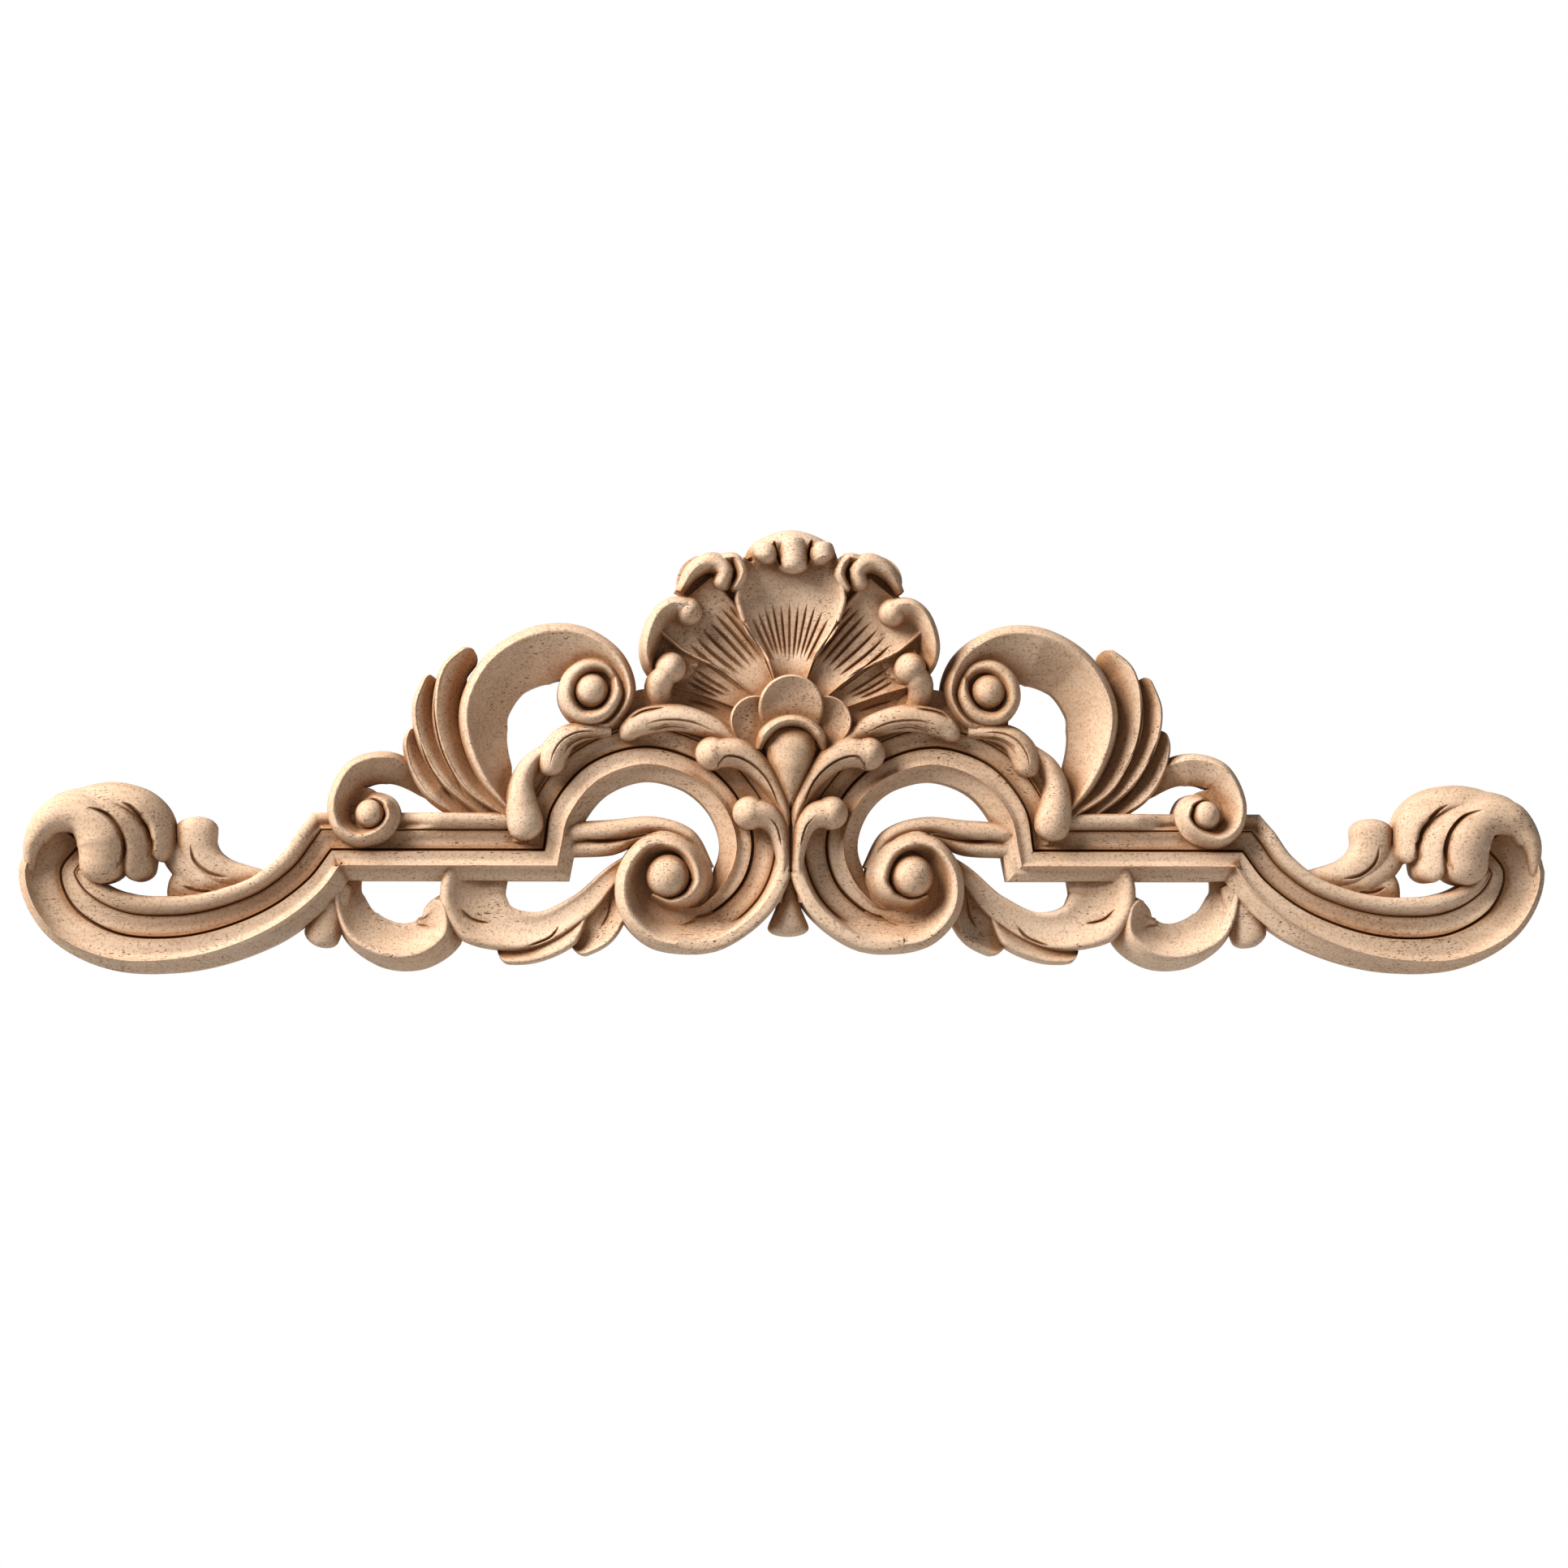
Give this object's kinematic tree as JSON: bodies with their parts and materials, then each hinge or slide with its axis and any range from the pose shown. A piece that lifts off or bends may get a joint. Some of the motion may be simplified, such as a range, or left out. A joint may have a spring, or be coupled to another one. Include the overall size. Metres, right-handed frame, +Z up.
{
  "type": "carved wooden crest onlay",
  "caption": "Carved wooden furniture onlay with a shell crest between C-scrolls, leaf work and scrolled ends, flat at the back for gluing.",
  "frame": {"origin": "on the flat back, on the axis of symmetry, at the height of the drop under the shell", "axes": "+X along the length to the viewer's right, +Z up towards the shell, +Y out of the flat back; the carving faces -Y"},
  "size_m": [0.4002, 0.0193, 0.1162],
  "materials": {
    "carved_wood": "raw, unfinished, cut and lightly sanded"
  },
  "bodies": {
    "root": {"onlay": "carved_wood"}
  },
  "joints": []
}
